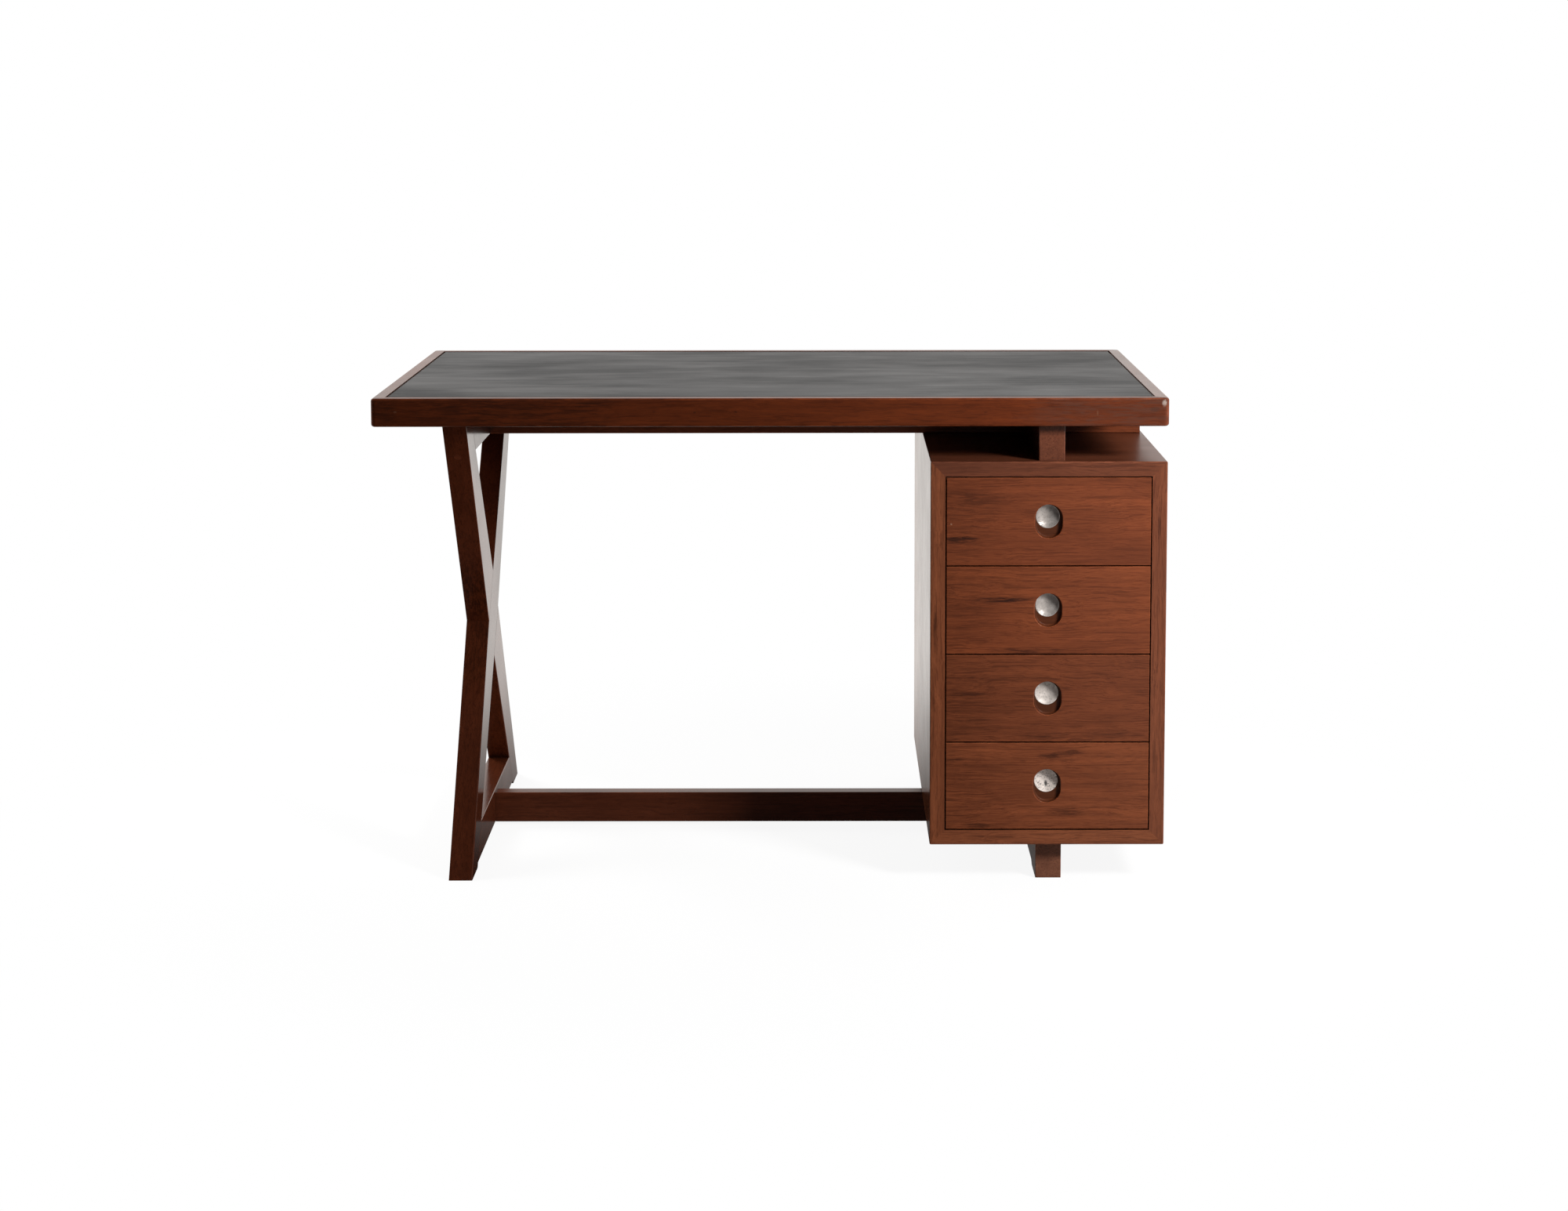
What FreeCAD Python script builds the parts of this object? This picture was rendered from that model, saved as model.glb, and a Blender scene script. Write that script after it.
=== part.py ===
import FreeCAD, Part
import math
import os

# Teak writing desk: a leather-covered top on a crossed side frame at the left
# and a drawer pedestal at the right, hung between a top rail and a floor runner.
# Millimetres. X runs to the right, Y to the back, Z up; drawers face -Y.
# The origin is on the floor, under the middle of the top.

# Overall
DESK_WIDTH = 1220.0
DESK_DEPTH = 760.0
DESK_HEIGHT = 762.0

# Top: edge band, core and leather
BAND_HEIGHT = 44.0
BAND_WIDTH = 20.0
BAND_CORNER_RADIUS = 8.0
BAND_ARRIS = 4.5
LEATHER_THICKNESS = 2.5
LEATHER_DROP = 0.8
LEATHER_GAP = 2.4
LEATHER_EDGE_RADIUS = 0.8

# Crossed side frame
FRAME_INSET = 105.0
FRAME_THICKNESS = 37.0
FRAME_DEPTH = 700.0
LEG_END_WIDTH = 76.0
LEG_WAIST_WIDTH = 138.0
RAIL_HEIGHT = 56.0
RUNNER_HEIGHT = 61.0
RUNNER_RELIEF = 6.0
ARRIS = 1.6

# Mortise and tenon joints
TENON_THICKNESS = 13.0
TENON_LENGTH = 26.0
TENON_SHOULDER = 9.0

# Wood plugs over the leg screws
PLUG_DIAMETER = 12.0
PLUG_LENGTH = 10.0
PLUG_PROUD = 0.3
PLUG_DROP = 56.0

# Members that tie the two ends together
CROSS_THICKNESS = 28.0
CROSS_END_SETBACK = 5.0
STRETCHER_HEIGHT = 50.0

# Rail and runner of the pedestal
SUPPORT_WIDTH = 40.0
SUPPORT_OFFSET = 5.0
SUPPORT_RAIL_SETBACK = 11.0
SUPPORT_RUNNER_SETBACK = 30.0
FOOT_LENGTH = 75.0
FOOT_RAMP = 14.0

# Pedestal carcass
PEDESTAL_WIDTH = 364.0
PEDESTAL_SETBACK = 14.0
BOARD_THICKNESS = 23.0
CARCASS_ARRIS = 2.2
BACK_THICKNESS = 8.0
BACK_LAP = 11.0

# Drawers
DRAWER_COUNT = 4
DRAWER_GAP = 1.8
DRAWER_LENGTH = 640.0
FRONT_THICKNESS = 22.0
FRONT_RECESS = 0.6
FRONT_ARRIS = 1.0
SIDE_THICKNESS = 16.0
SIDE_CLEARANCE = 2.0
SIDE_RAISE = 10.0
SIDE_DROP = 14.0
DRAWER_BACK_THICKNESS = 14.0
DRAWER_BACK_INSET = 12.0
DRAWER_BACK_HOUSING = 5.0
BOTTOM_THICKNESS = 6.0
BOTTOM_GROOVE = 6.0
BOTTOM_RAISE = 9.0
TAIL_COUNT = 3
TAIL_DEPTH = 14.0
TAIL_FLARE = 2.5
TAIL_SHARE = 0.58

# Wooden side slides for the drawers
SLIDE_WIDTH = 10.0
SLIDE_HEIGHT = 16.0
SLIDE_CLEARANCE = 0.3
SLIDE_STOP = 26.0
SLIDE_STOP_GAP = 0.5

# Dished aluminium pulls let into oval finger scoops
SCOOP_WIDTH = 42.5
SCOOP_HEIGHT = 52.5
SCOOP_DEPTH = 9.0
SCOOP_FLOOR_RADIUS = 3.5
SCOOP_ARRIS = 1.0
CUP_DIAMETER = 36.5
CUP_SINK = 8.6
CUP_DEPTH = 5.0
CUP_LIP = 0.8
CUP_SEAT = 18.0
CUP_OFFSET = -1.0
CUP_TOP_GAP = 1.2
PULL_SCREW_SHANK = 4.0
PULL_SCREW_BITE = 3.5
PULL_SCREW_HEAD = 8.0
PULL_SCREW_HEAD_TOP = 5.0
PULL_SCREW_HEAD_HEIGHT = 2.6

# Wood screws
SCREW_SHANK = 5.0
SCREW_HEAD = 9.5
SCREW_HEAD_HEIGHT = 3.0
TOP_SCREW_BITE = 24.0
TOP_SCREW_BORE = 20.0
PEDESTAL_SCREW_BITE = 26.0
SCREW_MARGIN = 90.0

# Tolerances for picking edges
PARALLEL = 0.999
LEVEL_TOLERANCE = 0.01

# Derived levels and planes
HALF_WIDTH = DESK_WIDTH / 2
HALF_DEPTH = DESK_DEPTH / 2
UNDERSIDE = DESK_HEIGHT - BAND_HEIGHT
CORE_TOP = DESK_HEIGHT - LEATHER_DROP - LEATHER_THICKNESS
RAIL_BOTTOM = UNDERSIDE - RAIL_HEIGHT
FRAME_OUT = -HALF_WIDTH + FRAME_INSET
FRAME_IN = FRAME_OUT + FRAME_THICKNESS
FRAME_MID = (FRAME_OUT + FRAME_IN) / 2
PED_LEFT = HALF_WIDTH - PEDESTAL_WIDTH
PED_RIGHT = HALF_WIDTH
PED_FRONT = -HALF_DEPTH + PEDESTAL_SETBACK
PED_BACK = HALF_DEPTH - PEDESTAL_SETBACK
PED_LOW = RUNNER_HEIGHT
PED_HIGH = RAIL_BOTTOM
INNER_LEFT = PED_LEFT + BOARD_THICKNESS
INNER_RIGHT = PED_RIGHT - BOARD_THICKNESS
INNER_LOW = PED_LOW + BOARD_THICKNESS
INNER_HIGH = PED_HIGH - BOARD_THICKNESS
INNER_BACK = PED_BACK - BACK_THICKNESS
SUPPORT_MID = (PED_LEFT + PED_RIGHT) / 2 + SUPPORT_OFFSET
SUPPORT_LEFT = SUPPORT_MID - SUPPORT_WIDTH / 2
SUPPORT_RIGHT = SUPPORT_MID + SUPPORT_WIDTH / 2
FRONT_HEIGHT = (INNER_HIGH - INNER_LOW - DRAWER_GAP * (DRAWER_COUNT + 1)) / DRAWER_COUNT
FRONT_FACE = PED_FRONT + FRONT_RECESS
FRONT_REAR = FRONT_FACE + FRONT_THICKNESS
DRAWER_END = FRONT_FACE + DRAWER_LENGTH
SIDE_LEFT = INNER_LEFT + SIDE_CLEARANCE
SIDE_RIGHT = INNER_RIGHT - SIDE_CLEARANCE
DRAWER_MID = (INNER_LEFT + INNER_RIGHT) / 2


def vec(x, y, z):
    return FreeCAD.Vector(x, y, z)


def box(x0, x1, y0, y1, z0, z1):
    return Part.makeBox(x1 - x0, y1 - y0, z1 - z0, vec(x0, y0, z0))


def prism(points, sweep):
    return Part.Face(Part.makePolygon(points + points[:1])).extrude(sweep)


def prism_x(outline, x0, x1):
    return prism([vec(x0, y, z) for y, z in outline], vec(x1 - x0, 0, 0))


def prism_y(outline, y0, y1):
    return prism([vec(x, y0, z) for x, z in outline], vec(0, y1 - y0, 0))


def prism_z(outline, z0, z1):
    return prism([vec(x, y, z0) for x, y in outline], vec(0, 0, z1 - z0))


def mirrored(outline):
    return [(-y, z) for y, z in outline]


def rod(start, direction, diameter, length):
    return Part.makeCylinder(diameter / 2, length, start, direction)


def cut_all(shape, tools):
    for tool in tools:
        shape = shape.cut(tool)
    return shape


def runs_along(edge, axis):
    ends = edge.Vertexes
    if len(ends) < 2 or edge.Curve.TypeId != "Part::GeomLine":
        return False
    step = ends[1].Point - ends[0].Point
    return abs(step.dot(axis)) > PARALLEL * step.Length


def eased_along(shape, axis, radius):
    """Rounds the straight edges that run along one axis."""
    return shape.makeFillet(radius, [e for e in shape.Edges if runs_along(e, axis)])


def eased_rim(shape, radius, level):
    """Rounds every edge that lies in a level plane."""
    low = level - LEVEL_TOLERANCE
    high = level + LEVEL_TOLERANCE
    flat = [e for e in shape.Edges if e.BoundBox.ZMin > low and e.BoundBox.ZMax < high]
    return shape.makeFillet(radius, flat)


X_AXIS = vec(1, 0, 0)
Y_AXIS = vec(0, 1, 0)
Z_AXIS = vec(0, 0, 1)


def wood_screw(seat, direction, length):
    """A countersunk screw whose head is flush with its seat."""
    head = Part.makeCone(SCREW_HEAD / 2, SCREW_SHANK / 2, SCREW_HEAD_HEIGHT, seat, direction)
    return head.fuse(rod(seat, direction, SCREW_SHANK, length)).removeSplitter()


def desk_top():
    """Mitred edge band round a flush core, with the leather let in on top."""
    outer = box(-HALF_WIDTH, HALF_WIDTH, -HALF_DEPTH, HALF_DEPTH, UNDERSIDE, DESK_HEIGHT)
    outer = eased_along(outer, Z_AXIS, BAND_CORNER_RADIUS)
    outer = eased_rim(outer, BAND_ARRIS, DESK_HEIGHT)
    outer = eased_rim(outer, BAND_ARRIS, UNDERSIDE)
    in_x = HALF_WIDTH - BAND_WIDTH
    in_y = HALF_DEPTH - BAND_WIDTH
    ring = outer.cut(box(-in_x, in_x, -in_y, in_y, UNDERSIDE, DESK_HEIGHT))
    front = [(-HALF_WIDTH, -HALF_DEPTH), (HALF_WIDTH, -HALF_DEPTH), (in_x, -in_y), (-in_x, -in_y)]
    left = [(-HALF_WIDTH, -HALF_DEPTH), (-in_x, -in_y), (-in_x, in_y), (-HALF_WIDTH, HALF_DEPTH)]
    wedges = {
        "edge_band_front": front,
        "edge_band_back": [(x, -y) for x, y in front],
        "edge_band_left": left,
        "edge_band_right": [(-x, y) for x, y in left],
    }
    pieces = {}
    for name, outline in wedges.items():
        pieces[name] = ring.common(prism_z(outline, UNDERSIDE, DESK_HEIGHT))
    pieces["top_core"] = box(-in_x, in_x, -in_y, in_y, UNDERSIDE, CORE_TOP)
    skin_x = in_x - LEATHER_GAP
    skin_y = in_y - LEATHER_GAP
    skin_top = CORE_TOP + LEATHER_THICKNESS
    leather = box(-skin_x, skin_x, -skin_y, skin_y, CORE_TOP, skin_top)
    pieces["leather_inset"] = eased_rim(leather, LEATHER_EDGE_RADIUS, skin_top)
    return pieces


# Outline of the crossed legs in the frame's own plane
LEG_END = FRAME_DEPTH / 2
LEG_INNER_END = LEG_END - LEG_END_WIDTH
LEG_WAIST = LEG_WAIST_WIDTH / 2
WAIST_LEVEL = UNDERSIDE / 2
APEX_RISE = LEG_WAIST * WAIST_LEVEL / (LEG_WAIST + LEG_INNER_END)


def opening_edge(height):
    """Distance from the middle to a leg's inner edge, at a height above the waist."""
    return (LEG_WAIST + LEG_INNER_END) * height / WAIST_LEVEL - LEG_WAIST


def frame_bar(low, high):
    """A bar between the legs, cut to their slope, with a tenon at each end."""
    spans = [(opening_edge(abs(z - WAIST_LEVEL)), z) for z in (low, high)]
    (low_half, low_z), (high_half, high_z) = spans
    body = [(-low_half, low_z), (low_half, low_z), (high_half, high_z), (-high_half, high_z)]
    bar = prism_x(body, FRAME_OUT, FRAME_IN)
    tongue = []
    for z in (low + TENON_SHOULDER, high - TENON_SHOULDER):
        tongue.append((opening_edge(abs(z - WAIST_LEVEL)), z))
    (y0, z0), (y1, z1) = tongue
    outline = [(y0, z0), (y0 + TENON_LENGTH, z0), (y1 + TENON_LENGTH, z1), (y1, z1)]
    cheek = TENON_THICKNESS / 2
    tenons = [prism_x(o, FRAME_MID - cheek, FRAME_MID + cheek) for o in (outline, mirrored(outline))]
    return bar, tenons


def leg_plug(side):
    """A round plug let in square to the sloping outer face, near the top of a leg."""
    run = LEG_END - LEG_WAIST
    length = math.hypot(run, WAIST_LEVEL)
    inward = vec(0, WAIST_LEVEL / length, run / length)
    seat_y = -LEG_END + run * PLUG_DROP / WAIST_LEVEL
    start = vec(FRAME_MID, seat_y, UNDERSIDE - PLUG_DROP) - inward * PLUG_PROUD
    plug = rod(start, inward, PLUG_DIAMETER, PLUG_LENGTH + PLUG_PROUD)
    if side > 0:
        plug = plug.mirror(vec(0, 0, 0), Y_AXIS)
    return plug


def side_frame():
    """Two tapered legs halved over each other, with a rail and a runner between their ends."""
    outline = [
        (-LEG_END, UNDERSIDE),
        (-LEG_INNER_END, UNDERSIDE),
        (LEG_WAIST, WAIST_LEVEL),
        (LEG_END, 0),
        (LEG_INNER_END, 0),
        (-LEG_WAIST, WAIST_LEVEL),
    ]
    lozenge = [
        (-LEG_WAIST, WAIST_LEVEL),
        (0, WAIST_LEVEL - APEX_RISE),
        (LEG_WAIST, WAIST_LEVEL),
        (0, WAIST_LEVEL + APEX_RISE),
    ]
    legs = []
    for points in (outline, mirrored(outline)):
        leg = prism_x(points, FRAME_OUT, FRAME_IN)
        sloping = []
        for edge in leg.Edges:
            across = runs_along(edge, X_AXIS) or runs_along(edge, Y_AXIS)
            if not across:
                sloping.append(edge)
        legs.append(leg.makeFillet(ARRIS, sloping))
    front_leg = legs[0].cut(prism_x(lozenge, FRAME_MID, FRAME_IN))
    back_leg = legs[1].cut(prism_x(lozenge, FRAME_OUT, FRAME_MID))

    rail, rail_tenons = frame_bar(RAIL_BOTTOM, UNDERSIDE)
    runner, runner_tenons = frame_bar(RUNNER_RELIEF, RUNNER_HEIGHT)
    rail = eased_along(rail, Y_AXIS, ARRIS)
    runner = eased_along(runner, Y_AXIS, ARRIS)
    plugs = [leg_plug(-1), leg_plug(1)]
    sockets = rail_tenons + runner_tenons + plugs
    pieces = {
        "x_leg_front_top": cut_all(front_leg, sockets),
        "x_leg_back_top": cut_all(back_leg, sockets),
        "left_top_rail": rail.multiFuse(rail_tenons),
        "left_runner": runner.multiFuse(runner_tenons),
        "leg_plugs": Part.makeCompound(plugs),
    }
    return pieces


def cross_members(pieces):
    """The high cross rail and the low stretcher that tie the frame to the pedestal's supports."""
    half = CROSS_THICKNESS / 2
    cheek = TENON_THICKNESS / 2

    rail_end = PED_RIGHT - CROSS_END_SETBACK
    rail = box(FRAME_IN, rail_end, -half, half, RAIL_BOTTOM, UNDERSIDE)
    rail = eased_along(rail, X_AXIS, ARRIS)
    rail_tenon = box(FRAME_IN - TENON_LENGTH, FRAME_IN, -cheek, cheek,
                     RAIL_BOTTOM + TENON_SHOULDER, UNDERSIDE - TENON_SHOULDER)
    middle = (RAIL_BOTTOM + UNDERSIDE) / 2
    rail = rail.cut(box(SUPPORT_LEFT, SUPPORT_RIGHT, -half, half, RAIL_BOTTOM, middle))
    pieces["cross_rail"] = rail.fuse(rail_tenon)
    pieces["left_top_rail"] = pieces["left_top_rail"].cut(rail_tenon)

    low = RUNNER_RELIEF
    high = RUNNER_RELIEF + STRETCHER_HEIGHT
    bar = box(FRAME_IN, SUPPORT_LEFT, -half, half, low, high)
    bar = eased_along(bar, X_AXIS, ARRIS)
    tenon_low = low + TENON_SHOULDER
    tenon_high = high - TENON_SHOULDER
    left_tenon = box(FRAME_IN - TENON_LENGTH, FRAME_IN, -cheek, cheek, tenon_low, tenon_high)
    right_tenon = box(SUPPORT_LEFT, SUPPORT_LEFT + TENON_LENGTH, -cheek, cheek, tenon_low, tenon_high)
    pieces["stretcher"] = bar.multiFuse([left_tenon, right_tenon])
    pieces["left_runner"] = pieces["left_runner"].cut(left_tenon)

    rail_front = PED_FRONT + SUPPORT_RAIL_SETBACK
    rail_back = PED_BACK - SUPPORT_RAIL_SETBACK
    support = box(SUPPORT_LEFT, SUPPORT_RIGHT, rail_front, rail_back, RAIL_BOTTOM, UNDERSIDE)
    support = eased_along(support, Z_AXIS, ARRIS)
    pieces["right_top_rail"] = support.cut(box(SUPPORT_LEFT, SUPPORT_RIGHT, -half, half, middle, UNDERSIDE))

    start = PED_FRONT + SUPPORT_RUNNER_SETBACK
    end = PED_BACK - SUPPORT_RUNNER_SETBACK
    runner_side = [
        (start, 0),
        (start + FOOT_LENGTH, 0),
        (start + FOOT_LENGTH + FOOT_RAMP, RUNNER_RELIEF),
        (end - FOOT_LENGTH - FOOT_RAMP, RUNNER_RELIEF),
        (end - FOOT_LENGTH, 0),
        (end, 0),
        (end, RUNNER_HEIGHT),
        (start, RUNNER_HEIGHT),
    ]
    runner = eased_along(prism_x(runner_side, SUPPORT_LEFT, SUPPORT_RIGHT), Z_AXIS, ARRIS)
    pieces["right_runner"] = runner.cut(right_tenon)


def pedestal():
    """Carcass of four boards mitred at the corners, with a back panel let into a rebate."""
    outer = box(PED_LEFT, PED_RIGHT, PED_FRONT, PED_BACK, PED_LOW, PED_HIGH)
    outer = outer.makeFillet(CARCASS_ARRIS, outer.Edges)
    panel = box(INNER_LEFT - BACK_LAP, INNER_RIGHT + BACK_LAP, INNER_BACK, PED_BACK,
                INNER_LOW - BACK_LAP, INNER_HIGH + BACK_LAP)
    room = box(INNER_LEFT, INNER_RIGHT, PED_FRONT, PED_BACK, INNER_LOW, INNER_HIGH)
    shell = outer.cut(room).cut(panel)
    left = [(PED_LEFT, PED_LOW), (INNER_LEFT, INNER_LOW), (INNER_LEFT, INNER_HIGH), (PED_LEFT, PED_HIGH)]
    right = [(PED_RIGHT, PED_LOW), (INNER_RIGHT, INNER_LOW), (INNER_RIGHT, INNER_HIGH), (PED_RIGHT, PED_HIGH)]
    top = [(PED_LEFT, PED_HIGH), (INNER_LEFT, INNER_HIGH), (INNER_RIGHT, INNER_HIGH), (PED_RIGHT, PED_HIGH)]
    bottom = [(PED_LEFT, PED_LOW), (INNER_LEFT, INNER_LOW), (INNER_RIGHT, INNER_LOW), (PED_RIGHT, PED_LOW)]
    boards = {
        "pedestal_left_side": left,
        "pedestal_right_side": right,
        "pedestal_top": top,
        "pedestal_bottom": bottom,
    }
    pieces = {name: shell.common(prism_y(outline, PED_FRONT, PED_BACK)) for name, outline in boards.items()}
    pieces["pedestal_back"] = panel
    return pieces


def fasten(pieces):
    """Screws that hold the top on its rails, and the pedestal on its rail and runner."""
    screw_back = PED_BACK - SUPPORT_RAIL_SETBACK - SCREW_MARGIN
    frame_screw = LEG_INNER_END - SCREW_MARGIN
    cross_left = FRAME_IN + SCREW_MARGIN
    cross_right = SUPPORT_LEFT - SCREW_MARGIN
    places = [
        ("left_top_rail", FRAME_MID, -frame_screw),
        ("left_top_rail", FRAME_MID, frame_screw),
        ("cross_rail", cross_left, 0),
        ("cross_rail", cross_right, 0),
        ("right_top_rail", SUPPORT_MID, -screw_back),
        ("right_top_rail", SUPPORT_MID, screw_back),
    ]
    top_screws = []
    seat_z = RAIL_BOTTOM + TOP_SCREW_BORE
    length = UNDERSIDE - seat_z + TOP_SCREW_BITE
    for rail, x, y in places:
        screw = wood_screw(vec(x, y, seat_z), Z_AXIS, length)
        bore = rod(vec(x, y, RAIL_BOTTOM), Z_AXIS, SCREW_HEAD, TOP_SCREW_BORE)
        pieces[rail] = pieces[rail].cut(bore).cut(screw)
        pieces["top_core"] = pieces["top_core"].cut(screw)
        top_screws.append(screw)
    pieces["top_screws"] = Part.makeCompound(top_screws)

    reach = BOARD_THICKNESS + PEDESTAL_SCREW_BITE
    pedestal_screws = []
    rows = screw_back - SCREW_MARGIN
    for y in (-rows, rows):
        up = wood_screw(vec(SUPPORT_MID, y, INNER_HIGH), Z_AXIS, reach)
        pieces["pedestal_top"] = pieces["pedestal_top"].cut(up)
        pieces["right_top_rail"] = pieces["right_top_rail"].cut(up)
        down = wood_screw(vec(SUPPORT_MID, y, INNER_LOW), -Z_AXIS, reach)
        pieces["pedestal_bottom"] = pieces["pedestal_bottom"].cut(down)
        pieces["right_runner"] = pieces["right_runner"].cut(down)
        pedestal_screws += [up, down]
    pieces["pedestal_screws"] = Part.makeCompound(pedestal_screws)


# Cup and scoop sizes that follow from the driving ones
SCOOP_REACH = (SCOOP_HEIGHT - SCOOP_WIDTH) / 2
CUP_RADIUS = ((CUP_DIAMETER / 2 - CUP_LIP) ** 2 + CUP_DEPTH ** 2) / (2 * CUP_DEPTH)
CUP_LEVEL = SCOOP_HEIGHT / 2 - CUP_TOP_GAP - CUP_DIAMETER / 2


def scoop(centre):
    """The oval pocket in a drawer front, rounded where its wall meets its floor."""
    side = X_AXIS * (SCOOP_WIDTH / 2)
    rise = Z_AXIS * (SCOOP_WIDTH / 2)
    low = centre - Z_AXIS * SCOOP_REACH
    high = centre + Z_AXIS * SCOOP_REACH
    outline = Part.Wire([
        Part.Arc(low - side, low - rise, low + side).toShape(),
        Part.makeLine(low + side, high + side),
        Part.Arc(high + side, high + rise, high - side).toShape(),
        Part.makeLine(high - side, low - side),
    ])
    pocket = Part.Face(outline).extrude(Y_AXIS * SCOOP_DEPTH)
    floor = centre.y + SCOOP_DEPTH - LEVEL_TOLERANCE
    return pocket.makeFillet(SCOOP_FLOOR_RADIUS, [e for e in pocket.Edges if e.BoundBox.YMin > floor])


def cup_bore(centre):
    """The round seat of a pull, in the upper part of a scoop."""
    mouth = vec(centre.x + CUP_OFFSET, centre.y, centre.z + CUP_LEVEL)
    return rod(mouth, Y_AXIS, CUP_DIAMETER, CUP_SEAT)


def on_scoop_rim(edge, centre):
    """True for the edges where a scoop breaks the face of its drawer front."""
    size = edge.BoundBox
    in_face = size.YMax < centre.y + LEVEL_TOLERANCE
    near = abs(size.Center.z - centre.z) < SCOOP_HEIGHT / 2 + LEVEL_TOLERANCE
    short = max(size.XLength, size.ZLength) < SCOOP_HEIGHT
    return in_face and near and short


def pull_screw(centre):
    """A screw from inside the drawer into the back of the pull."""
    seat = vec(centre.x + CUP_OFFSET, FRONT_REAR, centre.z + CUP_LEVEL)
    length = FRONT_THICKNESS - CUP_SEAT + PULL_SCREW_BITE
    shank = rod(seat, -Y_AXIS, PULL_SCREW_SHANK, length)
    head = Part.makeCone(PULL_SCREW_HEAD / 2, PULL_SCREW_HEAD_TOP / 2, PULL_SCREW_HEAD_HEIGHT, seat, Y_AXIS)
    return shank.fuse(head)


def pull_cup(centre, screw):
    """A turned plug with a hollow face, let into the bore of a scoop."""
    rim = vec(centre.x + CUP_OFFSET, centre.y + CUP_SINK, centre.z + CUP_LEVEL)
    heart = rim + Y_AXIS * (CUP_DEPTH - CUP_RADIUS)
    plug = rod(rim, Y_AXIS, CUP_DIAMETER, CUP_SEAT - CUP_SINK)
    return cut_all(plug, [Part.makeSphere(CUP_RADIUS, heart, Y_AXIS), screw])


def dovetails(side_low, side_high):
    """Outlines of the tails that tie a drawer side into the back of its front."""
    pitch = (side_high - side_low) / TAIL_COUNT
    neck = pitch * TAIL_SHARE / 2
    tip = neck + TAIL_FLARE
    tip_y = FRONT_REAR - TAIL_DEPTH
    outlines = []
    for index in range(TAIL_COUNT):
        mid = side_low + pitch * (index + 0.5)
        outlines.append([
            (FRONT_REAR, mid - neck),
            (FRONT_REAR, mid + neck),
            (tip_y, mid + tip),
            (tip_y, mid - tip),
        ])
    return outlines


def drawer(number):
    """One drawer with its pull, and the pair of slides that it runs on."""
    high = INNER_HIGH - DRAWER_GAP - (number - 1) * (FRONT_HEIGHT + DRAWER_GAP)
    low = high - FRONT_HEIGHT
    side_low = low + SIDE_RAISE
    side_high = high - SIDE_DROP
    inside_left = SIDE_LEFT + SIDE_THICKNESS
    inside_right = SIDE_RIGHT - SIDE_THICKNESS

    front = box(INNER_LEFT + DRAWER_GAP, INNER_RIGHT - DRAWER_GAP, FRONT_FACE, FRONT_REAR, low, high)
    rim = [e for e in front.Edges if e.BoundBox.YMax < FRONT_FACE + FRONT_ARRIS / 2]
    front = front.makeFillet(FRONT_ARRIS, rim)

    floor_low = side_low + BOTTOM_RAISE
    floor_high = floor_low + BOTTOM_THICKNESS
    bottom = box(inside_left - BOTTOM_GROOVE, inside_right + BOTTOM_GROOVE,
                 FRONT_REAR - BOTTOM_GROOVE, DRAWER_END, floor_low, floor_high)
    back_end = DRAWER_END - DRAWER_BACK_INSET
    back = box(inside_left - DRAWER_BACK_HOUSING, inside_right + DRAWER_BACK_HOUSING,
               back_end - DRAWER_BACK_THICKNESS, back_end, floor_high, side_high)

    slide_mid = (side_low + side_high) / 2
    slide_half = SLIDE_HEIGHT / 2
    groove_half = slide_half + SLIDE_CLEARANCE
    groove_depth = SLIDE_WIDTH - SIDE_CLEARANCE + SLIDE_CLEARANCE
    groove_front = FRONT_REAR + SLIDE_STOP
    slide_front = groove_front + SLIDE_STOP_GAP

    tails = dovetails(side_low, side_high)
    sides = {}
    for hand, outer, inner in (("left", SIDE_LEFT, inside_left), ("right", SIDE_RIGHT, inside_right)):
        x0 = min(outer, inner)
        x1 = max(outer, inner)
        inward = math.copysign(1, inner - outer)
        groove_floor = outer + inward * groove_depth
        board = box(x0, x1, FRONT_REAR, DRAWER_END, side_low, side_high)
        teeth = [prism_x(outline, x0, x1) for outline in tails]
        groove = box(min(outer, groove_floor), max(outer, groove_floor), groove_front, DRAWER_END,
                     slide_mid - groove_half, slide_mid + groove_half)
        front = cut_all(front, teeth)
        sides[hand] = cut_all(board.multiFuse(teeth), [groove, bottom, back])
    front = front.cut(bottom)

    centre = vec(DRAWER_MID, FRONT_FACE, (low + high) / 2)
    screw = pull_screw(centre)
    front = cut_all(front, [scoop(centre), cup_bore(centre)])
    mouth = [e for e in front.Edges if on_scoop_rim(e, centre)]
    front = front.makeFillet(SCOOP_ARRIS, mouth).cut(screw)

    slides = {}
    for hand, wall, tip in (("left", INNER_LEFT, INNER_LEFT + SLIDE_WIDTH),
                            ("right", INNER_RIGHT, INNER_RIGHT - SLIDE_WIDTH)):
        slides[hand] = box(min(wall, tip), max(wall, tip), slide_front, INNER_BACK,
                           slide_mid - slide_half, slide_mid + slide_half)
    return {
        f"drawer_{number}_front": front,
        f"drawer_{number}_left_side": sides["left"],
        f"drawer_{number}_right_side": sides["right"],
        f"drawer_{number}_back": back,
        f"drawer_{number}_bottom": bottom,
        f"drawer_{number}_pull": pull_cup(centre, screw),
        f"drawer_{number}_pull_screw": screw,
        f"slide_{number}_left": slides["left"],
        f"slide_{number}_right": slides["right"],
    }


def build():
    pieces = desk_top()
    pieces.update(side_frame())
    cross_members(pieces)
    pieces.update(pedestal())
    fasten(pieces)
    for number in range(1, DRAWER_COUNT + 1):
        pieces.update(drawer(number))
    return pieces


def main():
    os.makedirs("parts", exist_ok=True)
    pieces = build()
    for name, shape in sorted(pieces.items()):
        shape.exportStep(f"parts/{name}.step")
        print(f"{name}: {len(shape.Solids)} solid(s), {shape.Volume / 1000:.1f} cm3, valid {shape.isValid()}")
    print(f"{len(pieces)} nodes")


main()
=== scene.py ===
import bpy
import math
from mathutils import Matrix, Vector

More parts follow.
